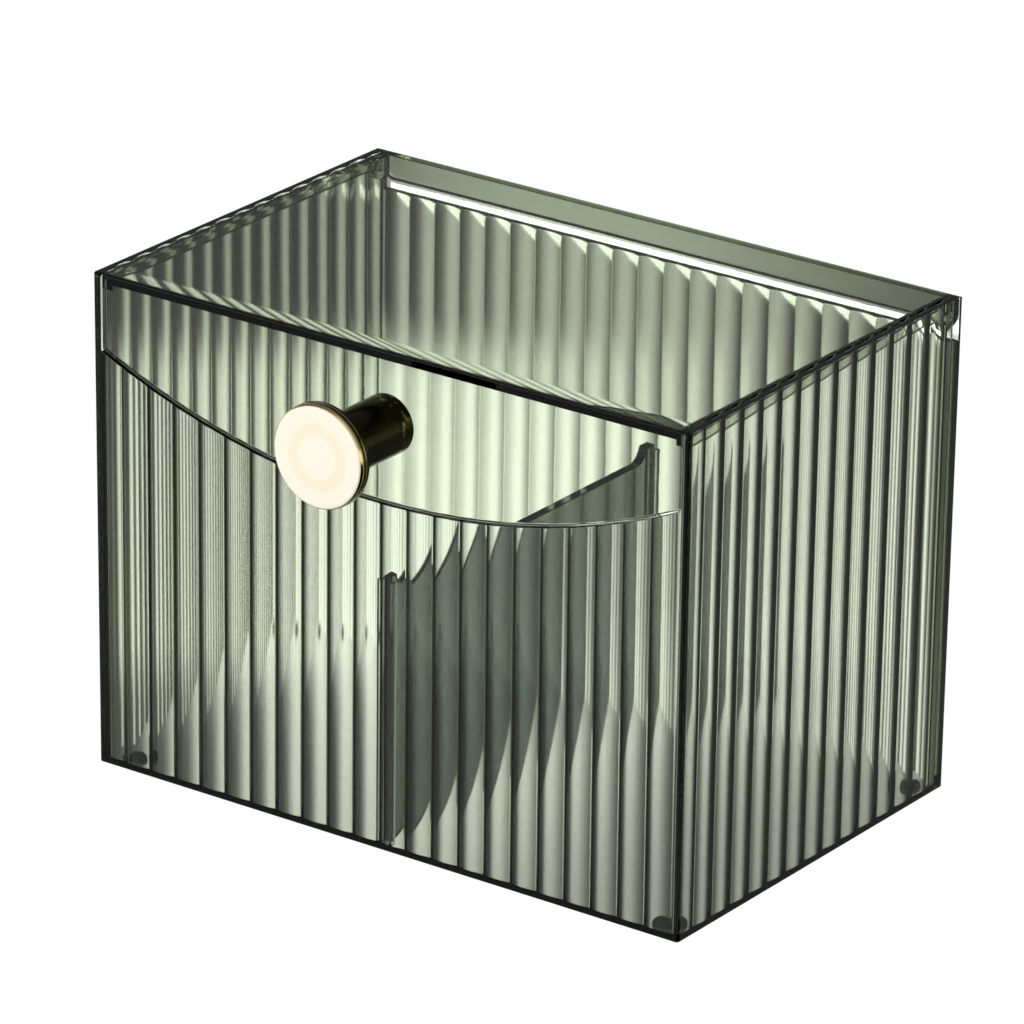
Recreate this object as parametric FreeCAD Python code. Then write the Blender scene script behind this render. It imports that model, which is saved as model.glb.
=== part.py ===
import FreeCAD
import Part
import math
import os

from FreeCAD import Vector

# Makeup organizer with a fluted clear body, a flip lid, a knob and a lift-out divider.
# Millimetres. X is the width, the front faces -Y, Z is up and the feet stand on Z = 0.
# Everything is drawn about the middle of the box and moved to the final origin at the end.

# Overall size of the box, without its feet and knob
WIDTH = 163.0
DEPTH = 107.6
HEIGHT = 120.0
FOOT_HEIGHT = 1.0
DRAFT = 0.5                      # each wall leans out by this over the full height

# Body walls
WALL = 2.2
FLOOR = 1.2
CORNER_R = 0.8                   # upright outer corners
CAVITY_R = 0.6                   # upright inner corners
WALL_TOP_R = 1.2                 # top front and rear corners of the side walls

# Flutes moulded into the inner faces of the four walls; the outer faces are plain
FLUTE_R = 9.2
RIDGE_LAND = 0.25                # narrow flat left on each ridge
FRONT_PITCH = 7.278
FRONT_FIRST_RIDGE = 6.9          # from the box's left face to the first ridge of the front wall
SIDE_PITCH = 7.33
SIDE_FIRST_RIDGE = 7.7           # from the front face to the first ridge of the right wall
CORNER_LAND = 0.8                # plain strip beside each inner corner
FLUTE_LEAST = 2.0                # a narrower strip beside a corner stays plain

# Lid, which closes between the side walls
LID_GAP = 0.3
LID_THICK = 2.2
LID_RECESS = 0.3                 # the apron's face stands this far behind the side walls' ends
LID_EDGE_R = 0.5
LID_REAR_R = 1.2
LID_INNER_R = 4.0                # hollow between the plate's underside and the apron
APRON_DROP = 35.75               # from the rim down to the apron's edge at mid width
APRON_R = 186.0                  # the edge's arc, from side wall to side wall
SKIRT_THICK = 2.0
SKIRT_DROP = 4.0
FLANGE_DROP = 8.0
FLANGE_CORNER_R = 3.0
FLANGE_EDGE_R = 0.8

# Hinge, two pivots moulded on the lid in blind holes of the side walls
PIVOT_FROM_BACK = 4.7
PIVOT_BELOW_TOP = 4.2
PIVOT_R = 1.5
PIVOT_FIT = 0.05
PIVOT_REACH = 1.0
PIVOT_END_GAP = 0.1
EAR_R = 3.3
BACK_WALL_DROP = 10.9            # the back wall stops this far below the rim
FRONT_WALL_GAP = 0.35            # between the apron's edge and the front wall's edge

# Divider and its guides
DIVIDER_THICK = 2.4
DIVIDER_TOP = 62.6
DIVIDER_TAB_TOP = 66.0
DIVIDER_TAB = 3.0
DIVIDER_FILLET = 4.0
DIVIDER_GAP = 0.3
RIB_THICK = 0.8
RIB_DEEP = 0.8
RIB_TOP = 65.0

# Knob and its screw
KNOB_X = 1.5
KNOB_BELOW_TOP = 16.6
KNOB_REACH = 26.3                # from the apron's face to the knob's face
HEAD_R = 12.1
HEAD_THICK = 3.4
HEAD_EDGE_R = 1.0
HEAD_BEVEL = 0.6
STEM_R = 7.05
STEM_BEVEL = 0.5
SCREW_R = 2.0
SCREW_HOLE_DEEP = 11.0
SCREW_LENGTH = 10.0
SCREW_HEAD_R = 4.0
SCREW_HEAD_THICK = 2.4
SCREW_BEVEL = 0.4
SCREW_HEAD_BEVEL = 1.0
SCREW_CLEAR = 0.05
APRON_HOLE_CLEAR = 0.25
CROSS_SLOT = 0.9
CROSS_REACH = 2.3
CROSS_DEEP = 1.3

# Feet, round pads stuck under the floor
FOOT_R = 3.5
FOOT_INSET_X = 7.2
FOOT_INSET_Y = 6.6
FOOT_BEVEL = 0.3

# Derived positions
FRONT = -DEPTH / 2
BACK = DEPTH / 2
HALF = WIDTH / 2
BASE = FOOT_HEIGHT
TOP = BASE + HEIGHT
INNER_HALF = HALF - WALL
LID_HALF = INNER_HALF - LID_GAP
LID_FRONT = FRONT + LID_RECESS
PIVOT_Y = BACK - PIVOT_FROM_BACK
PIVOT_Z = TOP - PIVOT_BELOW_TOP
APRON_LOW_Z = TOP - APRON_DROP
KNOB_Z = TOP - KNOB_BELOW_TOP
ORIGIN_Y = (LID_FRONT - KNOB_REACH + BACK) / 2      # middle of the whole depth, knob included

# Helpers for cutting and joining
OVER = 5.0                       # how far a cutting solid runs past what it cuts
BITE = 1.0                       # how far a rib, skirt or pivot runs into what carries it
ARC_MIDDLE = 1 - 1 / math.sqrt(2)                   # inset of a quarter arc's middle, per radius


def box(x0, x1, y0, y1, z0, z1):
    return Part.makeBox(x1 - x0, y1 - y0, z1 - z0, Vector(x0, y0, z0))


def cylinder_x(radius, x0, x1, y, z):
    return Part.makeCylinder(radius, x1 - x0, Vector(x0, y, z), Vector(1, 0, 0))


def cylinder_y(radius, y0, y1, x, z):
    return Part.makeCylinder(radius, y1 - y0, Vector(x, y0, z), Vector(0, 1, 0))


def near(a, b):
    return abs(a - b) < 0.01


def draft_at(z):
    """How far the walls stand in from the rim's outline at a height above the base."""
    return DRAFT * (1 - z / HEIGHT)


def rounded_rectangle(x, y, r, z):
    plate = box(-x, x, -y, y, z, z + 1)
    uprights = [e for e in plate.Edges if abs(e.tangentAt(e.FirstParameter).z) > 0.9]
    rounded = plate.makeFillet(r, uprights)
    base = [f for f in rounded.Faces if near(f.CenterOfMass.z, z)][0]
    return base.OuterWire


def outline_face(corners, arcs):
    """Face inside a closed outline of points; arcs gives the middle of each side that is an arc."""
    edges = []
    for i, a in enumerate(corners):
        b = corners[(i + 1) % len(corners)]
        if i in arcs:
            edges.append(Part.Arc(a, arcs[i], b).toShape())
        else:
            edges.append(Part.makeLine(a, b))
    return Part.Face(Part.Wire(edges))


# Flutes, hollow channels cut by cylinders that lean with the walls

def flute_run(first, pitch, reach):
    """Ridge positions along a wall, from one corner of the cavity to the other."""
    end = reach - CORNER_LAND
    run = [first + pitch * k for k in range(int((end - first) / pitch) + 1)]
    if run[0] + end > FLUTE_LEAST:
        run.insert(0, -end)
    if end - run[-1] > FLUTE_LEAST:
        run.append(end)
    return run


def leaning_slab(start, end, inner):
    """Wall-thick slab just outside a wall's inner face, from the floor up, facing -Y."""
    low = BASE + FLOOR
    high = TOP + OVER
    outline = []
    for z, depth in ((low, 0), (high, 0), (high, WALL), (low, WALL)):
        y = -(inner - draft_at(z - BASE)) - depth
        outline.append(Vector(start, y, z))
    return Part.Face(Part.makePolygon(outline + outline[:1])).extrude(Vector(end - start, 0, 0))


def wall_flutes(run, inner):
    """Flutes of a wall that faces -Y: cylinders that lean with it, kept only inside the wall."""
    up = Vector(0, -DRAFT, HEIGHT)
    up.normalize()
    slab = leaning_slab(run[0], run[-1], inner)
    flutes = []
    for a, b in zip(run, run[1:]):
        chord = b - a - RIDGE_LAND
        axis_y = -inner + math.sqrt(FLUTE_R ** 2 - (chord / 2) ** 2)
        foot = Vector((a + b) / 2, axis_y, TOP) - up * (HEIGHT + OVER)
        flutes.append(Part.makeCylinder(FLUTE_R, HEIGHT + 3 * OVER, foot, up).common(slab))
    return flutes


def flute_cutters():
    """Flutes of all four walls; the back and left walls are the front and right ones turned round."""
    inner_back = BACK - WALL
    front_run = flute_run(-HALF + FRONT_FIRST_RIDGE, FRONT_PITCH, INNER_HALF)
    side_run = flute_run(FRONT + SIDE_FIRST_RIDGE, SIDE_PITCH, inner_back)
    cutters = []
    for run, inner, turns in ((front_run, inner_back, (0, 180)), (side_run, INNER_HALF, (90, 270))):
        for turn in turns:
            for flute in wall_flutes(run, inner):
                flute.rotate(Vector(0, 0, 0), Vector(0, 0, 1), turn)
                cutters.append(flute)
    return cutters


def apron_arc(drop, y0, y1):
    """Cylinder along Y whose lowest line is the apron's edge at mid width, lowered by drop."""
    return cylinder_y(APRON_R + drop, y0, y1, 0, APRON_LOW_Z + APRON_R)


# Body

def body_shell():
    outer = Part.makeLoft([rounded_rectangle(HALF - DRAFT, BACK - DRAFT, CORNER_R, BASE),
                           rounded_rectangle(HALF, BACK, CORNER_R, TOP)], True, True)
    x = HALF - WALL
    y = BACK - WALL
    low = draft_at(FLOOR)
    cavity = Part.makeLoft([rounded_rectangle(x - low, y - low, CAVITY_R, BASE + FLOOR),
                            rounded_rectangle(x, y, CAVITY_R, TOP)], True, True)
    return outer.cut([cavity] + flute_cutters())


def front_wall_cutter():
    """Everything of the front wall that stands above the arc under the apron."""
    y0 = FRONT - OVER
    y1 = FRONT + WALL + BITE
    slab = box(-INNER_HALF, INNER_HALF, y0, y1, APRON_LOW_Z - OVER, TOP + OVER)
    return slab.common(apron_arc(FRONT_WALL_GAP, y0 - OVER, y1 + OVER))


def back_wall_cutter():
    return box(-INNER_HALF, INNER_HALF, BACK - WALL - BITE, BACK + OVER,
               TOP - BACK_WALL_DROP, TOP + OVER)


def wall_top_rounds():
    """Cutters that round the top front and rear corners of the side walls."""
    cutters = []
    x = HALF + OVER
    z = TOP - WALL_TOP_R
    for face_y, inward in ((FRONT, 1), (BACK, -1)):
        centre_y = face_y + inward * WALL_TOP_R
        y0, y1 = sorted((face_y - inward * OVER, centre_y))
        square = box(-x, x, y0, y1, z, TOP + OVER)
        cutters.append(square.cut(cylinder_x(WALL_TOP_R, -x - OVER, x + OVER, centre_y, z)))
    return cutters


def guide_ribs():
    """Pairs of ribs on the inner front and back faces that hold the divider's ends."""
    ribs = []
    inner = DIVIDER_THICK / 2 + DIVIDER_GAP
    face = BACK - WALL - DRAFT
    for way in (-1, 1):
        for end in (-1, 1):
            x0, x1 = sorted((way * inner, way * (inner + RIB_THICK)))
            y0, y1 = sorted((end * (face - RIB_DEEP), end * (face + BITE)))
            ribs.append(box(x0, x1, y0, y1, BASE + FLOOR - BITE, BASE + RIB_TOP))
    return ribs


def pivot_holes():
    radius = PIVOT_R + PIVOT_FIT
    end = LID_HALF + LID_GAP + PIVOT_REACH + PIVOT_END_GAP
    return [cylinder_x(radius, LID_HALF, end, PIVOT_Y, PIVOT_Z),
            cylinder_x(radius, -end, -LID_HALF, PIVOT_Y, PIVOT_Z)]


def make_body():
    shell = body_shell()
    for cutter in [front_wall_cutter(), back_wall_cutter()] + wall_top_rounds():
        shell = shell.cut(cutter)
    for rib in guide_ribs():
        shell = shell.fuse(rib)
    for hole in pivot_holes():
        shell = shell.cut(hole)
    return shell.removeSplitter()


# Lid

def lid_side_profile():
    """Side view of the lid's plate, apron and back flange, as a closed face."""
    y0 = LID_FRONT
    y1 = BACK
    r = LID_EDGE_R
    rr = LID_REAR_R
    fr = FLANGE_EDGE_R
    inner_y = y0 + LID_THICK
    inner_z = TOP - LID_THICK
    inner_r = LID_INNER_R
    apron_z = APRON_LOW_Z - BITE
    flange_z = TOP - FLANGE_DROP
    q = ARC_MIDDLE
    pts = [(y0, apron_z), (y0, TOP - r), (y0 + r, TOP), (y1 - rr, TOP), (y1, TOP - rr),
           (y1, flange_z + fr), (y1 - fr, flange_z), (y1 - LID_THICK, flange_z),
           (y1 - LID_THICK, inner_z), (inner_y + inner_r, inner_z),
           (inner_y, inner_z - inner_r), (inner_y, apron_z)]
    p = [Vector(-LID_HALF, y, z) for y, z in pts]
    front_mid = Vector(-LID_HALF, y0 + r * q, TOP - r * q)
    rear_mid = Vector(-LID_HALF, y1 - rr * q, TOP - rr * q)
    flange_mid = Vector(-LID_HALF, y1 - fr * q, flange_z + fr * q)
    inner_mid = Vector(-LID_HALF, inner_y + inner_r * q, inner_z - inner_r * q)
    return outline_face(p, {1: front_mid, 3: rear_mid, 5: flange_mid, 9: inner_mid})


def trim_apron(lid):
    """Cut the apron's lower edge to its arc."""
    y0 = LID_FRONT - OVER
    y1 = LID_FRONT + LID_THICK + BITE
    below = box(-HALF, HALF, y0, y1, APRON_LOW_Z - OVER, TOP)
    return lid.cut(below.cut(apron_arc(0.0, y0 - OVER, y1 + OVER)))


def round_flange(lid):
    """Round the two lower corners of the back flange."""
    y0 = BACK - LID_THICK - BITE
    y1 = BACK + OVER
    z = TOP - FLANGE_DROP + FLANGE_CORNER_R
    for way in (-1, 1):
        x = way * (LID_HALF - FLANGE_CORNER_R)
        x0, x1 = sorted((x, way * (LID_HALF + OVER)))
        corner = box(x0, x1, y0, y1, TOP - FLANGE_DROP - OVER, z)
        lid = lid.cut(corner.cut(cylinder_y(FLANGE_CORNER_R, y0 - OVER, y1 + OVER, x, z)))
    return lid


def lid_skirts():
    """Thin skirts under the plate's side edges, the ears at their rear ends and the pivots."""
    parts = []
    for way in (-1, 1):
        x0, x1 = sorted((way * LID_HALF, way * (LID_HALF - SKIRT_THICK)))
        parts.append(box(x0, x1, LID_FRONT + BITE, BACK - BITE, TOP - SKIRT_DROP, TOP - BITE))
        parts.append(cylinder_x(EAR_R, x0, x1, PIVOT_Y, PIVOT_Z))
        p0, p1 = sorted((way * (LID_HALF - BITE), way * (LID_HALF + LID_GAP + PIVOT_REACH)))
        parts.append(cylinder_x(PIVOT_R, p0, p1, PIVOT_Y, PIVOT_Z))
    return parts


def make_lid():
    lid = lid_side_profile().extrude(Vector(2 * LID_HALF, 0, 0))
    lid = trim_apron(lid)
    lid = round_flange(lid)
    for piece in lid_skirts():
        lid = lid.fuse(piece)
    hole_r = SCREW_R + APRON_HOLE_CLEAR
    hole = cylinder_y(hole_r, LID_FRONT - OVER, LID_FRONT + LID_THICK + OVER, KNOB_X, KNOB_Z)
    return lid.cut(hole).removeSplitter()


# Divider

def divider_reach(z):
    """Half the divider's length at a height above the base, following the leaning walls."""
    return BACK - WALL - DIVIDER_GAP - draft_at(z)


def divider_shoulder(inner_y, mid_z, tab_z):
    """Arc between a tab and the rim: it leaves the tab upright and meets the rim level."""
    rise = tab_z - mid_z
    run = math.sqrt(DIVIDER_FILLET ** 2 - (DIVIDER_FILLET - rise) ** 2)
    start_y = inner_y - run
    angle = 0.5 * math.acos((DIVIDER_FILLET - rise) / DIVIDER_FILLET)
    mid_y = start_y + DIVIDER_FILLET * math.sin(angle)
    arc_z = mid_z + DIVIDER_FILLET * (1 - math.cos(angle))
    return start_y, mid_y, arc_z


def make_divider():
    low_z = BASE + FLOOR + DIVIDER_GAP
    mid_z = BASE + DIVIDER_TOP
    tab_z = BASE + DIVIDER_TAB_TOP
    low_y = divider_reach(FLOOR)
    tab_y = divider_reach(DIVIDER_TAB_TOP)
    inner_y = tab_y - DIVIDER_TAB
    start_y, arc_y, arc_z = divider_shoulder(inner_y, mid_z, tab_z)
    x = -DIVIDER_THICK / 2
    outline = [(low_y, low_z), (tab_y, tab_z), (inner_y, tab_z), (start_y, mid_z)]
    outline += [(-y, z) for y, z in reversed(outline)]
    corners = [Vector(x, y, z) for y, z in outline]
    arcs = {2: Vector(x, arc_y, arc_z), 4: Vector(x, -arc_y, arc_z)}
    return outline_face(corners, arcs).extrude(Vector(DIVIDER_THICK, 0, 0))


# Knob and screw, turned about an axis along Y

def turned(points, arcs):
    """Solid of revolution about the knob's axis from (radius, reach) points, some joined by arcs."""
    y0 = LID_FRONT
    corners = [Vector(KNOB_X + r, y0 - reach, KNOB_Z) for r, reach in points]
    middles = {i: Vector(KNOB_X + r, y0 - reach, KNOB_Z) for i, (r, reach) in arcs.items()}
    face = outline_face(corners, middles)
    return face.revolve(Vector(KNOB_X, y0, KNOB_Z), Vector(0, 1, 0), 360)


def make_knob():
    back = KNOB_REACH - HEAD_THICK
    bore = SCREW_R + SCREW_CLEAR
    shoulder = KNOB_REACH - HEAD_EDGE_R
    points = [(bore, 0), (STEM_R - STEM_BEVEL, 0), (STEM_R, STEM_BEVEL), (STEM_R, back),
              (HEAD_R - HEAD_BEVEL, back), (HEAD_R, back + HEAD_BEVEL), (HEAD_R, shoulder),
              (HEAD_R - HEAD_EDGE_R, KNOB_REACH), (0, KNOB_REACH),
              (0, SCREW_HOLE_DEEP), (bore, SCREW_HOLE_DEEP)]
    q = HEAD_EDGE_R * ARC_MIDDLE
    return turned(points, {6: (HEAD_R - q, KNOB_REACH - q)})


def make_screw():
    seat = -LID_THICK
    end = SCREW_LENGTH - LID_THICK
    head = seat - SCREW_HEAD_THICK
    points = [(0, end), (SCREW_R - SCREW_BEVEL, end), (SCREW_R, end - SCREW_BEVEL), (SCREW_R, seat),
              (SCREW_HEAD_R, seat), (SCREW_HEAD_R, head + SCREW_HEAD_BEVEL),
              (SCREW_HEAD_R - SCREW_HEAD_BEVEL, head), (0, head)]
    screw = turned(points, {})
    y0 = LID_FRONT - head - CROSS_DEEP
    y1 = LID_FRONT - head + OVER
    for dx, dz in ((CROSS_REACH, CROSS_SLOT / 2), (CROSS_SLOT / 2, CROSS_REACH)):
        screw = screw.cut(box(KNOB_X - dx, KNOB_X + dx, y0, y1, KNOB_Z - dz, KNOB_Z + dz))
    return screw


# Feet

def make_foot(side, end):
    x = side * (HALF - DRAFT - FOOT_INSET_X)
    y = end * (BACK - DRAFT - FOOT_INSET_Y)
    foot = Part.makeCylinder(FOOT_R, FOOT_HEIGHT, Vector(x, y, 0))
    rim = [e for e in foot.Edges if near(e.BoundBox.ZMax, 0) and near(e.BoundBox.ZMin, 0)]
    return foot.makeChamfer(FOOT_BEVEL, rim)


def build():
    nodes = {
        "box_body": make_body(),
        "lid": make_lid(),
        "divider": make_divider(),
        "knob": make_knob(),
        "knob_screw": make_screw(),
    }
    for side, side_name in ((-1, "left"), (1, "right")):
        for end, end_name in ((-1, "front"), (1, "back")):
            nodes["foot_%s_%s" % (end_name, side_name)] = make_foot(side, end)
    return nodes


# The origin is under the middle of the whole organizer, so everything moves back by half the knob
os.makedirs("parts", exist_ok=True)
for name, shape in build().items():
    shape.translate(Vector(0, -ORIGIN_Y, 0))
    shape.exportStep("parts/%s.step" % name)
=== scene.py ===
import math

import bpy
import numpy as np
from mathutils import Matrix, Vector


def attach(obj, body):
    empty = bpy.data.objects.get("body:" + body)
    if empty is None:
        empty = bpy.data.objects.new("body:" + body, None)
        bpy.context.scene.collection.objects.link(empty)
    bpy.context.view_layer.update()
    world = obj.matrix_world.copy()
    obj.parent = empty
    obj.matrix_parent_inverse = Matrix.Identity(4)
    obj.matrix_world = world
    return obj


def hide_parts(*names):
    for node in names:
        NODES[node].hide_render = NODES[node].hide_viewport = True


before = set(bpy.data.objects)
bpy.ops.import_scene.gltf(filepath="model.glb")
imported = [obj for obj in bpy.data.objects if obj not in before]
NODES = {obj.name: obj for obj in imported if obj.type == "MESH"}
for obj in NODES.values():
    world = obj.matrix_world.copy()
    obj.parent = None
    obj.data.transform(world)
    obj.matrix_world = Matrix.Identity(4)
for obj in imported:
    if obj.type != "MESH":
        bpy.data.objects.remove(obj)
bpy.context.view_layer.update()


# Sizes in millimetres, the same as the solids have, measured from the middle of the box's plan

MM = 0.001
BOX_Y = 13.0                     # the middle of the box stands this far behind the origin
BASE, TOP = 1.0, 121.0
HALF, BACK = 81.5, 53.8
WALL, FLOOR, DRAFT = 2.2, 1.2, 0.5
OUTER_R, INNER_R = 0.8, 0.6
RIM_R = 0.2                      # every rim is eased by this
WALL_TOP_R = 1.2
BACK_WALL_TOP = TOP - 10.9
FRONT_WALL_GAP = 0.35
HAIR = 0.01                      # width of an upright step in a rim

FLUTE_R, RIDGE_LAND = 9.2, 0.25
FRONT_RIDGE, FRONT_PITCH = -74.6, 7.278
SIDE_RIDGE, SIDE_PITCH = -46.1, 7.33
CORNER_LAND, FLUTE_LEAST = 0.8, 2.0
FLUTE_STEPS = 24

RIB_INNER, RIB_OUTER = 1.5, 2.3  # the guide ribs' faces, from the middle
RIB_DEEP, RIB_BITE, RIB_HIGH = 0.8, 1.0, 65.0

LID_HALF, LID_THICK, LID_FRONT = 79.0, 2.2, -BACK + 0.3
LID_EDGE_R, LID_REAR_R = 0.5, 1.2
APRON_R, APRON_LOW = 186.0, TOP - 35.75
SWELL_REACH, SWELL_DEEP = 5.0, 0.5   # the plate grows thicker towards the apron
SKIRT_THICK, SKIRT_LOW = 2.0, TOP - 4.0
FLANGE_LOW, FLANGE_CORNER_R, FLANGE_EDGE_R = TOP - 8.0, 3.0, 0.8
PIVOT_Y, PIVOT_Z, PIVOT_R, EAR_R = BACK - 4.7, TOP - 4.2, 1.5, 3.3
PIVOT_FIT, PIVOT_REACH, PIVOT_HOLE = 0.05, 1.3, 1.4
SCREW_HOLE_R = 2.25

DIVIDER_HALF, DIVIDER_GAP = 1.2, 0.3
DIVIDER_HIGH, TAB_HIGH = 62.6, 66.0  # above the box's base
TAB_LONG, TAB_R = 3.0, 4.0
DIVIDER_EASE = 0.15

KNOB_X, KNOB_Z, KNOB_REACH = 1.5, TOP - 16.6, 26.3
HEAD_R, HEAD_THICK, HEAD_EDGE_R = 12.1, 3.4, 1.0
STEM_R, BORE_R, BORE_DEEP = 7.05, 2.05, 11.0


# Shapes

def put_mesh(name, points, faces):
    """New object from points in millimetres about the middle of the box, and its faces."""
    mesh = bpy.data.meshes.new(name)
    place = (np.asarray(points, float) + (0, BOX_Y, 0)) * MM
    mesh.from_pydata(place.tolist(), [], faces)
    obj = bpy.data.objects.new(name, mesh)
    bpy.context.scene.collection.objects.link(obj)
    return obj


def band_faces(rings, ring_size, closed_rings, closed_profile):
    """Four-sided faces between neighbouring rings of points numbered ring by ring."""
    i = np.arange(rings if closed_rings else rings - 1)
    j = np.arange(ring_size if closed_profile else ring_size - 1)
    i, j = (v.ravel() for v in np.meshgrid(i, j, indexing="ij"))
    i1 = (i + 1) % rings
    j1 = (j + 1) % ring_size
    quads = np.stack([i * ring_size + j, i1 * ring_size + j, i1 * ring_size + j1, i * ring_size + j1], 1)
    return quads.tolist()


def smooth_below(obj, degrees):
    """Shade faces smooth where they meet at less than this angle, and sharp elsewhere."""
    mesh = obj.data
    mesh.polygons.foreach_set("use_smooth", np.ones(len(mesh.polygons), bool))
    mesh.set_sharp_from_angle(angle=math.radians(degrees))
    mesh.update()


def carve(obj, tools, kind):
    """Join small solids to a piece, or cut them out of it, and leave its finished mesh."""
    for tool in tools:
        modifier = obj.modifiers.new("carve", "BOOLEAN")
        modifier.operation = kind
        modifier.solver = "EXACT"
        modifier.object = tool
    graph = bpy.context.evaluated_depsgraph_get()
    mesh = bpy.data.meshes.new_from_object(obj.evaluated_get(graph))
    obj.modifiers.clear()
    obj.data = mesh
    for tool in tools:
        bpy.data.objects.remove(tool)


def block(x0, x1, y0, y1, z0, z1):
    """Plain block between two corners, for joining."""
    x, y, z = (v.ravel() for v in np.meshgrid((x0, x1), (y0, y1), (z0, z1), indexing="ij"))
    faces = [(0, 1, 3, 2), (4, 6, 7, 5), (0, 4, 5, 1), (2, 3, 7, 6), (0, 2, 6, 4), (1, 5, 7, 3)]
    return put_mesh("block", np.stack([x, y, z], 1), faces)


def rod(axis, radius, start, end, a, b):
    """Round rod along X or Y: a circle, radius times cosine and sine, carried from start to end."""
    turn = np.arange(64) * (2 * math.pi / 64)
    ring = np.stack([a + radius * np.cos(turn), b + radius * np.sin(turn)], 1)
    along = np.repeat((start, end), len(ring))[:, None]
    ring = np.tile(ring, (2, 1))
    if axis == "x":
        points = np.concatenate([along, ring], 1)
    else:
        points = np.concatenate([ring[:, :1], along, ring[:, 1:]], 1)
    n = len(turn)
    faces = band_faces(2, n, False, True)
    faces += [list(range(n)), list(range(2 * n - 1, n - 1, -1))]
    if axis == "x":
        faces = [list(reversed(face)) for face in faces]
    return put_mesh("rod", points, faces)


def flute_line(first, pitch, reach):
    """A fluted face in plan: positions along it, and how deep the flute is cut at each. A flute is
    a circle's arc between two ridges, so its depth is the arc's height over its chord."""
    end = reach - CORNER_LAND
    ridges = first + pitch * np.arange(int((end - first) / pitch) + 1)
    if ridges[0] + end > FLUTE_LEAST:
        ridges = np.insert(ridges, 0, -end)
    if end - ridges[-1] > FLUTE_LEAST:
        ridges = np.append(ridges, end)
    chord = np.diff(ridges)[:, None] - RIDGE_LAND
    step = np.linspace(-0.5, 0.5, FLUTE_STEPS + 1)[None, :]
    place = (ridges[:-1, None] + ridges[1:, None]) / 2 + chord * step
    depth = np.sqrt(FLUTE_R ** 2 - (chord * step) ** 2) - np.sqrt(FLUTE_R ** 2 - (chord / 2) ** 2)
    return place.ravel(), depth.ravel()


def corner_turn(x, y, radius, steps):
    """Quarter circle round the front right corner of a plan, from the front face to the side."""
    turn = np.linspace(-0.5, 0, steps) * math.pi
    return x - radius + radius * np.cos(turn), y + radius + radius * np.sin(turn)


def half_plan():
    """Half of the walls' plan at the rim, from the front wall's left end round the right side, as
    stations: outer point, inner point, lean of both with height, and 1 where the station stands on
    the wall under the lid or 0 where it stands at a side wall's height."""
    inner_x, inner_y = HALF - WALL, -BACK + WALL
    rows = []
    x, depth = flute_line(FRONT_RIDGE, FRONT_PITCH, inner_x)
    n = len(x)
    outward = np.full(n, -1.0)
    rows.append(np.stack([x, np.full(n, -BACK), x, inner_y - depth, np.zeros(n), outward, np.ones(n)], 1))
    ox, oy = corner_turn(HALF, -BACK, OUTER_R, 9)
    ix, iy = corner_turn(inner_x, inner_y, INNER_R, 9)
    ox = np.concatenate([[inner_x, inner_x + HAIR, HALF - OUTER_R - 0.5], ox, [HALF] * 3])
    oy = np.concatenate([[-BACK] * 3, oy, [-BACK + 0.95, -BACK + WALL_TOP_R, inner_y]])
    ix = np.concatenate([[ix[0]] * 3, ix, [ix[-1]] * 3])
    iy = np.concatenate([[iy[0]] * 3, iy, [iy[-1]] * 3])
    n = len(ox)
    own = np.zeros(n)
    own[0] = 1
    rows.append(np.stack([ox, oy, ix, iy, np.ones(n), np.full(n, -1.0), own], 1))
    y, depth = flute_line(SIDE_RIDGE, SIDE_PITCH, -inner_y)
    n = len(y)
    rows.append(np.stack([np.full(n, HALF), y, inner_x + depth, y, np.ones(n), np.zeros(n), np.zeros(n)], 1))
    rows.append(rows[1][::-1] * (1, -1, 1, -1, 1, -1, 1))
    return np.concatenate(rows)


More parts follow.
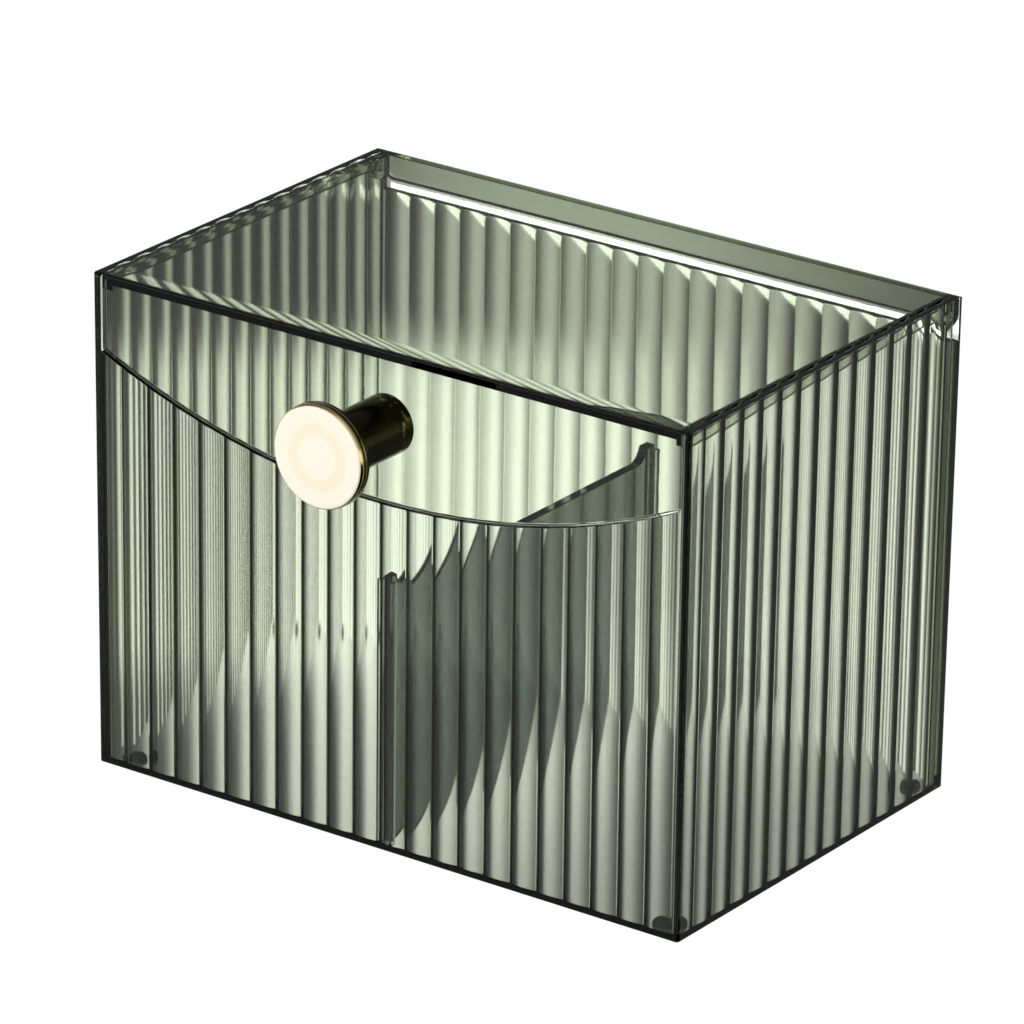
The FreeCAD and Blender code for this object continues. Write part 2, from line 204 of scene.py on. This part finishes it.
def body_walls():
    """Floor and walls of the box: a wall's profile, from the bottom edge up over its rim and down
    to the floor, carried round the plan. A point leans inward by the draft, in proportion to its
    height below the rim, and each rim edge is eased by a quarter circle."""
    half = half_plan()
    plan = np.concatenate([half, half * (-1, -1, -1, -1, -1, -1, 1)])
    outer, inner, lean, own = plan[:, 0:2], plan[:, 2:4], plan[:, 4:6], plan[:, 6:7]
    across = inner - outer
    thick = np.linalg.norm(across, axis=1)[:, None]
    across = across / thick
    near_side = np.array([[0, 0.03, 0.1, RIM_R, 0.42, 0.66, 0.92, WALL_TOP_R]])
    far_side = np.array([[RIM_R, 0.1, 0.03, 0]])
    t = np.concatenate([np.repeat(near_side, len(plan), 0), thick - far_side], 1)
    x = outer[:, 0:1] + across[:, 0:1] * t
    y = outer[:, 1:2] + across[:, 1:2] * t
    eased = RIM_R - np.clip(np.minimum(t, thick - t), 0, RIM_R)
    ease = RIM_R - np.sqrt(RIM_R ** 2 - eased ** 2)
    inset = WALL_TOP_R - np.clip(BACK - np.abs(y), 0, WALL_TOP_R)
    corner_top = TOP - np.maximum(WALL_TOP_R - np.sqrt(WALL_TOP_R ** 2 - inset ** 2), ease)
    arc = APRON_LOW + APRON_R - np.sqrt((APRON_R + FRONT_WALL_GAP) ** 2 - x ** 2)
    own_top = np.where(y < 0, arc, BACK_WALL_TOP) - ease
    z = np.where(own > 0, own_top, corner_top)
    low_t = np.repeat([[RIM_R, 0.06, 0]], len(plan), 0)
    low_z = np.repeat([[BASE, BASE + 0.06, BASE + RIM_R]], len(plan), 0)
    x = np.concatenate([outer[:, 0:1] + across[:, 0:1] * low_t, x, inner[:, 0:1]], 1)
    y = np.concatenate([outer[:, 1:2] + across[:, 1:2] * low_t, y, inner[:, 1:2]], 1)
    z = np.concatenate([low_z, z, np.full((len(plan), 1), BASE + FLOOR)], 1)
    draft = DRAFT * (1 - (z - BASE) / (TOP - BASE))
    points = np.stack([x - lean[:, 0:1] * draft, y - lean[:, 1:2] * draft, z], 2)
    rings, size = z.shape
    faces = band_faces(rings, size, True, False)
    faces.append((np.arange(rings)[::-1] * size).tolist())
    faces.append((np.arange(rings) * size + size - 1).tolist())
    return put_mesh("box_body_fine", points.reshape(-1, 3), faces)


def make_body():
    """Walls and floor, joined to the four guide ribs and cut by the two blind pivot holes."""
    body = body_walls()
    wall_y = BACK - WALL - DRAFT
    ribs = []
    for way in (-1, 1):
        for end in (-1, 1):
            x0, x1 = sorted((way * RIB_INNER, way * RIB_OUTER))
            y0, y1 = sorted((end * (wall_y - RIB_DEEP), end * (wall_y + RIB_BITE)))
            ribs.append(block(x0, x1, y0, y1, BASE + 0.2, BASE + RIB_HIGH))
    carve(body, ribs, "UNION")
    hole = PIVOT_R + PIVOT_FIT
    deep = LID_HALF + PIVOT_HOLE
    holes = [rod("x", hole, LID_HALF, deep, PIVOT_Y, PIVOT_Z),
             rod("x", hole, -deep, -LID_HALF, PIVOT_Y, PIVOT_Z)]
    carve(body, holes, "DIFFERENCE")
    smooth_below(body, 8)
    return body


def arc_line(y, z, radius, start, end, steps, hold=(0, 0)):
    """Points of a circle about (y, z), from one angle in degrees to another. Where an end is held,
    one more point lies a hair past it along the tangent, so that the flat beside it stays flat."""
    turn = np.radians(np.linspace(start, end, steps))
    line = np.stack([y + radius * np.cos(turn), z + radius * np.sin(turn)], 1)
    tangent = np.stack([-np.sin(turn), np.cos(turn)], 1) * math.copysign(HAIR, end - start)
    before = line[:1] - tangent[:1]
    after = line[-1:] + tangent[-1:]
    return np.concatenate([before[:hold[0]], line, after[:hold[1]]])


def lid_sections():
    """Side views of the lid at stations across its width. At each, the apron's edge follows its arc
    and the back flange's lower corner its circle; near the ends the underside drops to the skirt
    and to the round ear about the pivot."""
    y0, y1, t, e = LID_FRONT, BACK, LID_THICK, RIM_R
    flange_x = LID_HALF - FLANGE_CORNER_R
    step = LID_HALF - SKIRT_THICK
    ends = flange_x + FLANGE_CORNER_R * np.sin(np.linspace(0, 0.5, 9) * math.pi)
    ends = np.sort(np.concatenate([ends, [step - HAIR, step]]))
    x = np.concatenate([-ends[::-1], np.linspace(-flange_x, flange_x, 77)[1:-1], ends])
    apron = APRON_LOW + APRON_R - np.sqrt(APRON_R ** 2 - x ** 2)
    beyond = np.clip(np.abs(x) - flange_x, 0, FLANGE_CORNER_R)
    flange = FLANGE_LOW + FLANGE_CORNER_R - np.sqrt(FLANGE_CORNER_R ** 2 - beyond ** 2)
    ear_y = PIVOT_Y + EAR_R * np.sin(np.linspace(-0.5, 0.2735, 20) * math.pi)
    under_y = np.concatenate([[-20, 0, 20, 40], ear_y])
    apron_edge = np.concatenate([arc_line(y0 + e, e, e, 180, 270, 5, (1, 1)),
                                 arc_line(y0 + t - e, e, e, 270, 360, 5, (1, 1))])
    near = np.linspace(1, 0, 25)
    swell = np.stack([y0 + t + SWELL_REACH * (1 - near), TOP - t - SWELL_DEEP * near ** 2], 1)
    underside = np.concatenate([swell, np.stack([under_y, np.full(len(under_y), TOP - t)], 1)])
    f = FLANGE_EDGE_R
    flange_edge = np.concatenate([[[y1 - t, 0.0]], arc_line(y1 - f, f, f, 270, 360, 7, (1, 1))])
    top = np.concatenate([arc_line(y1 - LID_REAR_R, TOP - LID_REAR_R, LID_REAR_R, 0, 90, 9, (1, 1)),
                          arc_line(y0 + LID_EDGE_R, TOP - LID_EDGE_R, LID_EDGE_R, 90, 180, 7, (1, 1))])
    rows = [np.repeat(part[None], len(x), 0) for part in (apron_edge, underside, flange_edge, top)]
    rows[0][:, :, 1] += apron[:, None]
    rows[2][:, :, 1] += flange[:, None]
    reach = np.clip(EAR_R ** 2 - (rows[1][:, :, 0] - PIVOT_Y) ** 2, 0, None)
    low = np.minimum(SKIRT_LOW, PIVOT_Z - np.sqrt(reach))
    low = np.where(reach > 0, low, SKIRT_LOW)
    skirt = (np.abs(x) >= step)[:, None]
    rows[1][:, :, 1] = np.where(skirt, np.minimum(rows[1][:, :, 1], low), rows[1][:, :, 1])
    return x, np.concatenate(rows, 1)


def make_lid():
    """The lid's side view carried across its width, with the two pivots joined on and the screw's
    hole cut through the apron."""
    x, sections = lid_sections()
    rings, size = sections.shape[:2]
    points = np.concatenate([np.repeat(x, size)[:, None], sections.reshape(-1, 2)], 1)
    faces = [face[::-1] for face in band_faces(rings, size, False, True)]
    faces.append(list(range(size))[::-1])
    faces.append(list(range((rings - 1) * size, rings * size)))
    lid = put_mesh("lid_fine", points, faces)
    reach = LID_HALF + PIVOT_REACH
    pivots = [rod("x", PIVOT_R, LID_HALF - 1, reach, PIVOT_Y, PIVOT_Z),
              rod("x", PIVOT_R, -reach, 1 - LID_HALF, PIVOT_Y, PIVOT_Z)]
    carve(lid, pivots, "UNION")
    carve(lid, [rod("y", SCREW_HOLE_R, LID_FRONT - 5, LID_FRONT + 5, KNOB_X, KNOB_Z)], "DIFFERENCE")
    smooth_below(lid, 20)
    return lid


def make_divider():
    """Upright plate: its outline, two tabs that fall to the rim in arcs, carried through its
    thickness, with every edge eased."""
    low, mid, tab, r = BASE + FLOOR + DIVIDER_GAP, BASE + DIVIDER_HIGH, BASE + TAB_HIGH, TAB_R
    reach = BACK - WALL - DIVIDER_GAP
    low_y = reach - DRAFT * (1 - FLOOR / (TOP - BASE))
    tab_y = reach - DRAFT * (1 - TAB_HIGH / (TOP - BASE))
    bend = math.degrees(math.acos((r - (tab - mid)) / r))
    start_y = tab_y - TAB_LONG - r * math.sin(math.radians(bend))
    fall = arc_line(start_y, mid + r, r, bend - 90, -90, 10, (0, 1))
    side = np.concatenate([[[low_y, low], [tab_y, tab]], fall])
    outline = np.concatenate([side, side[::-1] * (-1, 1)])
    n = len(outline)
    x = np.repeat((-DIVIDER_HALF, DIVIDER_HALF), n)[:, None]
    faces = [face[::-1] for face in band_faces(2, n, False, True)]
    faces += [list(range(n))[::-1], list(range(n, 2 * n))]
    plate = put_mesh("divider_fine", np.concatenate([x, np.tile(outline, (2, 1))], 1), faces)
    ease = plate.modifiers.new("ease", "BEVEL")
    ease.width = DIVIDER_EASE * MM
    ease.segments = 2
    ease.limit_method = "ANGLE"
    ease.angle_limit = math.radians(30)
    smooth_below(plate, 20)
    return plate


def make_knob():
    """Turned knob: its half profile, radius against distance from the apron, carried round its axis
    by cosine and sine, and closed by the flat face and the bore's flat end."""
    back = KNOB_REACH - HEAD_THICK
    edge = arc_line(HEAD_R - HEAD_EDGE_R, KNOB_REACH - HEAD_EDGE_R, HEAD_EDGE_R, 90, 0, 9, (1, 1))
    rest = [(HEAD_R, back + 0.6), (HEAD_R - 0.1, back + 0.3), (HEAD_R - 0.6, back), (STEM_R + 0.3, back),
            (STEM_R, back - 0.3), (STEM_R, 0.5), (STEM_R - 0.5, 0), (BORE_R, 0), (BORE_R, BORE_DEEP)]
    profile = np.concatenate([edge, rest])
    turn = np.arange(160) * (2 * math.pi / 160)
    radius = profile[None, :, 0]
    points = np.stack([KNOB_X + radius * np.cos(turn)[:, None],
                       np.broadcast_to(LID_FRONT - profile[None, :, 1], (len(turn), len(profile))),
                       KNOB_Z + radius * np.sin(turn)[:, None]], 2)
    rings, size = points.shape[:2]
    faces = [face[::-1] for face in band_faces(rings, size, True, False)]
    faces.append((np.arange(rings) * size).tolist())
    faces.append((np.arange(rings) * size + size - 1)[::-1].tolist())
    knob = put_mesh("knob_fine", points.reshape(-1, 3), faces)
    smooth_below(knob, 25)
    return knob


# Materials

class Graph:
    """Shader nodes of a material or of the world. An input takes a number, a colour or an output."""

    def __init__(self, owner):
        owner.use_nodes = True
        self.tree = owner.node_tree
        self.tree.nodes.clear()

    def add(self, kind, inputs=(), **settings):
        """New node; its inputs are given by name or by number."""
        node = self.tree.nodes.new("ShaderNode" + kind)
        for name, value in settings.items():
            setattr(node, name, value)
        for key, value in dict(inputs).items():
            socket = node.inputs[key]
            if isinstance(value, bpy.types.NodeSocket):
                self.tree.links.new(value, socket)
            elif socket.type == "RGBA":
                socket.default_value = (*value, 1)
            else:
                socket.default_value = value
        return node

    def maths(self, operation, *values):
        return self.add("Math", enumerate(values), operation=operation).outputs["Value"]

    def ease(self, value, low, high):
        """0 at low, 1 at high and a smooth step between them."""
        ends = {"Value": value, "From Min": low, "From Max": high}
        return self.add("MapRange", ends, interpolation_type="SMOOTHSTEP").outputs["Result"]

    def blend(self, amount, low, high):
        """Colour between low and high."""
        colours = {"Factor": amount, "A": low, "B": high}
        return self.add("Mix", colours, data_type="RGBA").outputs["Result"]

    def split(self, vector):
        node = self.add("SeparateXYZ", {"Vector": vector})
        return [node.outputs[axis] for axis in "XYZ"]

    def box_place(self):
        """Place on a piece in millimetres about the middle of the box's plan."""
        place = self.split(self.add("TexCoord").outputs["Object"])
        x, y, z = (self.maths("MULTIPLY", value, 1 / MM) for value in place)
        return x, self.maths("SUBTRACT", y, BOX_Y), z

    def mottle(self, scale, low, high):
        """Number that wanders between about low and high, in patches of 1 / scale metres."""
        place = self.add("TexCoord").outputs["Object"]
        noise = self.add("TexNoise", {"Vector": place, "Scale": scale, "Detail": 4})
        return self.maths("ADD", self.maths("MULTIPLY", noise.outputs["Fac"], high - low), low)

    def waves(self, height, depth):
        """Normal of a surface that is lifted by height times a depth in metres."""
        bump = {"Strength": 1.0, "Distance": depth, "Height": height}
        return self.add("Bump", bump).outputs["Normal"]

    def soft_curve(self, value, stops):
        """Level that runs softly through the stops, which are pairs of a value and a level."""
        first, span = stops[0][0], stops[-1][0] - stops[0][0]
        share = self.maths("MULTIPLY_ADD", value, 1 / span, -first / span)
        ramp = self.add("FloatCurve", {"Value": share})
        ramp.mapping.clip_max_y = 10
        points = ramp.mapping.curves[0].points
        while len(points) < len(stops):
            points.new(0.5, 0.5)
        for point, (place, level) in zip(points, stops):
            point.location = ((place - first) / span, level)
            point.handle_type = "AUTO"
        ramp.mapping.update()
        return ramp.outputs["Value"]

    def surface(self, shader, volume=None):
        """The material's output."""
        ends = {"Surface": shader.outputs[0]}
        if volume:
            ends["Volume"] = volume.outputs[0]
        self.add("OutputMaterial", ends)

    def glow(self, strength):
        self.surface(self.add("Emission", {"Strength": strength}))


def new_material(name):
    mat = bpy.data.materials.new(name)
    return mat, Graph(mat)


def smoke_plastic(name, colour, density, rough, edges, rims=0.0):
    """Clear plastic that takes its smoke green tint from how much of it the light crosses. The
    edges where two faces meet, and the rims within the given distance of the top, are painted black
    into the base colour as painted shade, for the light that runs along inside the walls and never
    gets out. Each edge is two pairs of a face of the box and the distance from it that is painted
    black."""
    mat, graph = new_material(name)
    x, y, z = graph.box_place()
    inside = {"side": graph.maths("SUBTRACT", HALF, graph.maths("ABSOLUTE", x)),
              "front": graph.maths("SUBTRACT", BACK, graph.maths("ABSOLUTE", y)),
              "top": graph.maths("SUBTRACT", TOP, z)}
    painted_shade = 0.0
    for pairs in edges:
        near = [graph.ease(inside[face], reach * 1.15, reach * 0.85) for face, reach in pairs]
        painted_shade = graph.maths("MAXIMUM", painted_shade, graph.maths("MULTIPLY", *near))
    if rims:
        normal = graph.split(graph.add("NewGeometry").outputs["Normal"])
        level = graph.maths("GREATER_THAN", graph.maths("ABSOLUTE", normal[2]), 0.5)
        high = graph.maths("LESS_THAN", inside["top"], rims)
        painted_shade = graph.maths("MAXIMUM", painted_shade, graph.maths("MULTIPLY", level, high))
    # Base colour: painted shade, near black on the listed edges and rims.
    shader = graph.add("BsdfPrincipled", {
        "Base Color": graph.blend(painted_shade, (1, 1, 1), PAINTED_EDGE_SHADE),
        "Roughness": graph.mottle(60, rough * 0.8, rough * 1.2),
        "Normal": graph.waves(graph.mottle(90, 0, 1), 0.000008),
        "Transmission Weight": 1.0,
        "IOR": 1.49})
    graph.surface(shader, graph.add("VolumeAbsorption", {"Color": colour, "Density": density}))
    return mat


def grained(name, low, high, scales, rough, depth, metallic):
    """Opaque skin whose shade, gloss and height wander in patches of three sizes."""
    mat, graph = new_material(name)
    shade, gloss, height = scales
    graph.surface(graph.add("BsdfPrincipled", {
        "Base Color": graph.blend(graph.mottle(shade, 0, 1), low, high),
        "Metallic": metallic,
        "Roughness": graph.mottle(gloss, *rough),
        "Normal": graph.waves(graph.mottle(height, 0, 1), depth)}))
    return mat


def knob_gold():
    """Satin champagne gold on the turned face, with a warmer ring and faint marks from turning. Off
    the face the metal is painted near black as painted shade, with painted highlights in bright gold
    on the head's rounded edge and on a line round its side, and painted reflections in gold spots at
    the stem's foot."""
    mat, graph = new_material("knob_gold")
    x, y, z = graph.box_place()
    dx = graph.maths("SUBTRACT", x, KNOB_X)
    dz = graph.maths("SUBTRACT", z, KNOB_Z)
    square = graph.maths("ADD", graph.maths("MULTIPLY", dx, dx), graph.maths("MULTIPLY", dz, dz))
    radius = graph.maths("SQRT", square)
    below = graph.maths("SUBTRACT", KNOB_REACH, graph.maths("SUBTRACT", LID_FRONT, y))

    def both(a, b):
        return graph.maths("MULTIPLY", a, b)

    face = graph.ease(below, 0.35, 0.05)
    # Painted highlight: the head's rounded edge and a line round its side are painted bright gold.
    edge = graph.ease(below, 1.15, 0.95)
    line = both(graph.ease(below, 2.3, 2.1), graph.ease(below, 1.6, 1.8))
    bright = graph.maths("MAXIMUM", edge, both(line, 0.6))
    ring = both(graph.ease(radius, 4.6, 5.6), graph.ease(radius, 8.4, 7.2))
    cream = graph.blend(ring, (1.0, 0.96, 0.80), (1.0, 0.91, 0.70))
    # Painted reflection: gold spots at the stem's foot, on metal that is painted near black as painted
    # shade.
    foot = graph.ease(below, KNOB_REACH - 7.0, KNOB_REACH - 4.0)
    painted_glints = both(graph.ease(graph.mottle(600, 0, 1), 0.56, 0.64), foot)
    stem = graph.blend(painted_glints, (0.05, 0.045, 0.016), (0.40, 0.33, 0.12))
    metal = graph.blend(bright, stem, (0.95, 0.78, 0.36))
    turning = graph.maths("SINE", graph.maths("MULTIPLY", radius, 2 * math.pi / 0.35))
    graph.surface(graph.add("BsdfPrincipled", {
        "Base Color": graph.blend(face, metal, cream),
        "Metallic": graph.maths("SUBTRACT", 1.0, both(face, 0.75)),
        "Roughness": graph.maths("ADD", graph.mottle(900, 0.10, 0.22), both(face, 0.25)),
        "Normal": graph.waves(turning, 0.0000016)}))
    return mat


def dress(obj, mat):
    obj.data.materials.clear()
    obj.data.materials.append(mat)


SMOKE_GREEN = (0.25, 0.34, 0.127)
SMOKE_GREY = (0.375, 0.42, 0.39)
# Colour of the painted shade on the plastic's edges and rims.
PAINTED_EDGE_SHADE = (0.01, 0.012, 0.008)

# Painted shade: near black on the body's upright corners and rims, on the lid's front and side top edges,
# and on the divider's two ends and top.
BODY_PLASTIC = smoke_plastic("smoke_green_plastic", SMOKE_GREEN, 300.0, 0.09,
                             [(("side", 1.2), ("front", 1.2))], rims=50.0)
LID_PLASTIC = smoke_plastic("smoke_green_lid", SMOKE_GREEN, 300.0, 0.02,
                            [(("front", 1.3), ("top", 1.1)), (("side", 3.5), ("top", 1.1))])
DIVIDER_PLASTIC = smoke_plastic("smoke_green_divider", SMOKE_GREY, 1000.0, 0.05,
                                [(("front", 3.4), ("front", 3.4))], rims=60.0)
GOLD = knob_gold()
STEEL = grained("screw_steel", (0.52, 0.52, 0.53), (0.68, 0.67, 0.64), (700, 2500, 1500),
                (0.2, 0.4), 0.00002, 1.0)
SILICONE = grained("foot_silicone", (0.035, 0.037, 0.034), (0.075, 0.078, 0.072), (900, 1800, 2500),
                   (0.45, 0.7), 0.00003, 0.0)

for make, material, body, slot, node in (
        (make_body, BODY_PLASTIC, "box", "smoke_green", "box_body"),
        (make_lid, LID_PLASTIC, "lid_assembly", "smoke_green", "lid"),
        (make_divider, DIVIDER_PLASTIC, "divider_plate", "smoke_green", "divider"),
        (make_knob, GOLD, "lid_assembly", "gold", "knob")):
    piece = make()
    dress(piece, material)
    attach(piece, body)
    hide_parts(node)
dress(NODES["knob_screw"], STEEL)
for node in NODES:
    if node.startswith("foot_"):
        dress(NODES[node], SILICONE)


# Stage, light and camera, with directions as degrees from +Y toward +X and degrees up

VIEW_TURN, VIEW_FALL, VIEW_ROLL = 35.591, 22.039, 0.798
CAMERA_AWAY = 1.7422             # metres
CAMERA_SHIFT = (-0.000971, 0.005288)
LENS_LENGTH = 7.504121           # in widths of the picture

# The studio's fields: the direction of each one's middle, and its brightness by degrees from there
BACK_FIELD = (-12.0, [(0, 0.3), (12, 0.3), (24, 0.3), (34, 0.3), (44, 0.2), (60, 0.08), (180, 0.0)])
FRONT_FIELD = (-144.0, [(0, 0.25), (25, 0.25), (45, 0.12), (180, 0.0)])
SKY_FIELD = (-36.0, [(0, 0.15), (90, 0.15), (180, 0.6)])

# The back card's light, in millimetres across from the view's axis and up from the floor: a bright
# patch in the middle, and a softer one on its left below the rim's height
CARD_AWAY, CARD_HALF, CARD_LOW, CARD_HIGH = 280.0, 400.0, -400.0, 120.0
PATCH_ACROSS = [(-400, 0.2), (-150, 0.15), (-90, 0.2), (-60, 0.5), (-35, 1.2), (-10, 2.0), (15, 2.2),
                (40, 2.0), (65, 1.5), (90, 0.95), (115, 0.5), (150, 0.25), (400, 0.05)]
PATCH_UP = [(-400, 0.6), (-160, 0.9), (-115, 1.0), (-90, 0.9), (-70, 0.75), (-30, 0.68), (-10, 0.65),
            (12, 0.65), (400, 0.75)]
LEFT_ACROSS = [(-400, 0.1), (-160, 0.1), (-110, 0.8), (-75, 1.5), (-45, 1.4), (0, 1.1), (30, 0.4),
               (60, 0.0), (400, 0.0)]
LEFT_UP = [(-400, 0.0), (-105, 0.0), (-85, 1.0), (-15, 1.0), (8, 0.0), (400, 0.0)]
SHADE_ACROSS = [(-400, 0.9), (-80, 0.85), (0, 0.7), (80, 0.42), (400, 0.4)]
SLOT_AWAY, SLOT_LIGHT = 30.0, 4.0
FILL_AWAY, FILL_HIGH, FILL_LIGHT = 1200.0, 1500.0, 0.9


def toward(turn, rise):
    """Unit vector of a direction."""
    turn, rise = math.radians(turn), math.radians(rise)
    return Vector((math.sin(turn) * math.cos(rise), math.cos(turn) * math.cos(rise), math.sin(rise)))


AHEAD = toward(-VIEW_TURN, 0)
ACROSS = toward(90 - VIEW_TURN, 0)


def surround():
    """Studio around the object: white about the horizon, above it a sky that is brightest on the
    camera's side, and below it two soft fields, behind the object and before it."""
    world = bpy.data.worlds.new("studio")
    bpy.context.scene.world = world
    graph = Graph(world)
    direction = graph.add("TexCoord").outputs["Generated"]
    flat = graph.add("VectorMath", {0: direction, 1: (1, 1, 0)}, operation="MULTIPLY").outputs["Vector"]
    heading = graph.add("VectorMath", {0: flat}, operation="NORMALIZE").outputs["Vector"]
    height = graph.split(direction)[2]

    def field(turn, stops):
        middle = {0: heading, 1: toward(turn, 0)}
        cosine = graph.add("VectorMath", middle, operation="DOT_PRODUCT").outputs["Value"]
        return graph.soft_curve(graph.maths("DEGREES", graph.maths("ARCCOSINE", cosine)), stops)

    below = graph.ease(height, -0.12, -0.25)
    above = graph.ease(height, 0.12, 0.25)
    ground = graph.maths("MULTIPLY", graph.maths("ADD", field(*BACK_FIELD), field(*FRONT_FIELD)), below)
    sky = graph.maths("MULTIPLY", field(*SKY_FIELD), above)
    low, high = (graph.maths("SUBTRACT", 1.0, part) for part in (below, above))
    between = graph.maths("MULTIPLY", low, high)
    light = graph.maths("ADD", graph.maths("ADD", ground, sky), between)
    back = graph.add("Background", {"Color": (1, 1, 1), "Strength": light})
    graph.add("OutputWorld", {"Surface": back.outputs["Background"]})


def stage_piece(name, points, faces, mat):
    piece = put_mesh(name, points, faces)
    dress(piece, mat)
    return piece


def table():
    """White floor, which clear pieces don't show."""
    mat, graph = new_material("floor_white")
    graph.glow(1.0)
    far = 6000.0
    corners = [(-far, -far, 0), (far, -far, 0), (far, far, 0), (-far, far, 0)]
    floor = stage_piece("floor", corners, [(0, 1, 2, 3)], mat)
    floor.visible_transmission = False
    floor.visible_glossy = False


def clear_view_card(name, points, faces, mat):
    """Card that is seen only through clear pieces."""
    card = stage_piece(name, points, faces, mat)
    card.visible_camera = False
    card.visible_diffuse = False
    card.visible_glossy = False
    card.visible_shadow = False


def back_card():
    """Card behind the object whose brightness changes across and up it."""
    mat, graph = new_material("card_white")
    x, y, z = graph.box_place()
    u = graph.maths("ADD", graph.maths("MULTIPLY", x, ACROSS.x), graph.maths("MULTIPLY", y, ACROSS.y))
    patch = graph.maths("MULTIPLY", graph.soft_curve(u, PATCH_ACROSS), graph.soft_curve(z, PATCH_UP))
    left = graph.maths("MULTIPLY", graph.soft_curve(u, LEFT_ACROSS), graph.soft_curve(z, LEFT_UP))
    graph.glow(graph.maths("ADD", patch, left))
    middle, wide = AHEAD * CARD_AWAY, ACROSS * CARD_HALF
    low, high = Vector((0, 0, CARD_LOW)), Vector((0, 0, CARD_HIGH))
    corners = [middle - wide + low, middle + wide + low, middle + wide + high, middle - wide + high]
    clear_view_card("back_card", corners, [(0, 1, 2, 3)], mat)


def shade_card():
    """The object's own soft shade on the table under it, deeper towards its right."""
    mat, graph = new_material("shade_grey")
    level = graph.soft_curve(graph.box_place()[0], SHADE_ACROSS)
    graph.surface(graph.add("BsdfTransparent", {"Color": level}))
    corners = [(-HALF, -BACK, 0.1), (HALF, -BACK, 0.1), (HALF, BACK, 0.1), (-HALF, BACK, 0.1)]
    clear_view_card("shade_card", corners, [(0, 1, 2, 3)], mat)


def slot_card():
    """Bright strip behind the box, seen through the slot between the lid's flange and the back wall."""
    mat, graph = new_material("slot_white")
    graph.glow(SLOT_LIGHT)
    turn, fall = math.radians(VIEW_TURN), math.radians(VIEW_FALL)
    drop = SLOT_AWAY * math.tan(fall) / math.cos(turn)
    drift = SLOT_AWAY * math.tan(turn)
    x0, x1, y = -LID_HALF - drift, LID_HALF - drift, BACK + SLOT_AWAY
    z0, z1 = BACK_WALL_TOP - drop, FLANGE_LOW - drop
    clear_view_card("slot_card", [(x0, y, z0), (x1, y, z0), (x1, y, z1), (x0, y, z1)], [(0, 1, 2, 3)], mat)


def fill_card():
    """Part of an upright cylinder around the object, (r sin a, r cos a, z), on the side away from
    the back card, and a disk far below. They light what is seen through the walls from the other
    sides and from above."""
    mat, graph = new_material("fill_white")
    graph.glow(FILL_LIGHT)
    steps = 41
    turn = np.radians(180 - VIEW_TURN + np.linspace(-100, 100, steps))
    ring = FILL_AWAY * np.stack([np.sin(turn), np.cos(turn)], 1)
    wall = [np.column_stack([ring, np.full(steps, z)]) for z in (-FILL_HIGH, FILL_HIGH)]
    turn = np.radians(np.arange(0, 360, 10))
    rim = (FILL_AWAY - 50) * np.stack([np.sin(turn), np.cos(turn)], 1)
    disk = np.column_stack([rim, np.full(len(rim), -FILL_HIGH)])
    i = np.arange(steps - 1)
    faces = np.stack([i, i + 1, i + 1 + steps, i + steps], 1).tolist()
    faces.append((2 * steps + np.arange(len(disk))).tolist())
    clear_view_card("fill_card", np.concatenate(wall + [disk]), faces, mat)


def knob_light():
    """Soft light from the front left, above, that lights the satin knob and isn't mirrored."""
    data = bpy.data.lights.new("knob_light", "AREA")
    data.shape = "DISK"
    data.size = 0.5
    data.energy = 4.5
    lamp = bpy.data.objects.new("knob_light", data)
    place = toward(-150, 32) * 0.9
    lamp.location = place
    lamp.rotation_euler = (-place).to_track_quat("-Z", "Y").to_euler()
    lamp.visible_transmission = False
    lamp.visible_glossy = False
    bpy.context.scene.collection.objects.link(lamp)


def camera():
    """Camera at the photograph's viewing angle: a long lens turned about the middle of the box."""
    roll = math.radians(VIEW_ROLL)
    look = toward(-VIEW_TURN, -VIEW_FALL)
    rise = ACROSS.cross(look)
    side = ACROSS * math.cos(roll) + rise * math.sin(roll)
    top = rise * math.cos(roll) - ACROSS * math.sin(roll)
    target = Vector((0, 0.01015, 0.061))
    place = target - look * CAMERA_AWAY + side * CAMERA_SHIFT[0] + top * CAMERA_SHIFT[1]
    data = bpy.data.cameras.new("camera")
    data.sensor_width = 36
    data.lens = LENS_LENGTH * data.sensor_width
    data.clip_start = 0.1
    data.clip_end = 50
    cam = bpy.data.objects.new("camera", data)
    turn = Matrix((side, top, -look)).transposed()
    cam.matrix_world = Matrix.Translation(place) @ turn.to_4x4()
    bpy.context.scene.collection.objects.link(cam)
    bpy.context.scene.camera = cam


settings = bpy.context.scene
settings.view_settings.view_transform = "Standard"
settings.cycles.max_bounces = 32
settings.cycles.transmission_bounces = 32
settings.cycles.glossy_bounces = 16
surround()
table()
back_card()
shade_card()
slot_card()
fill_card()
knob_light()
camera()
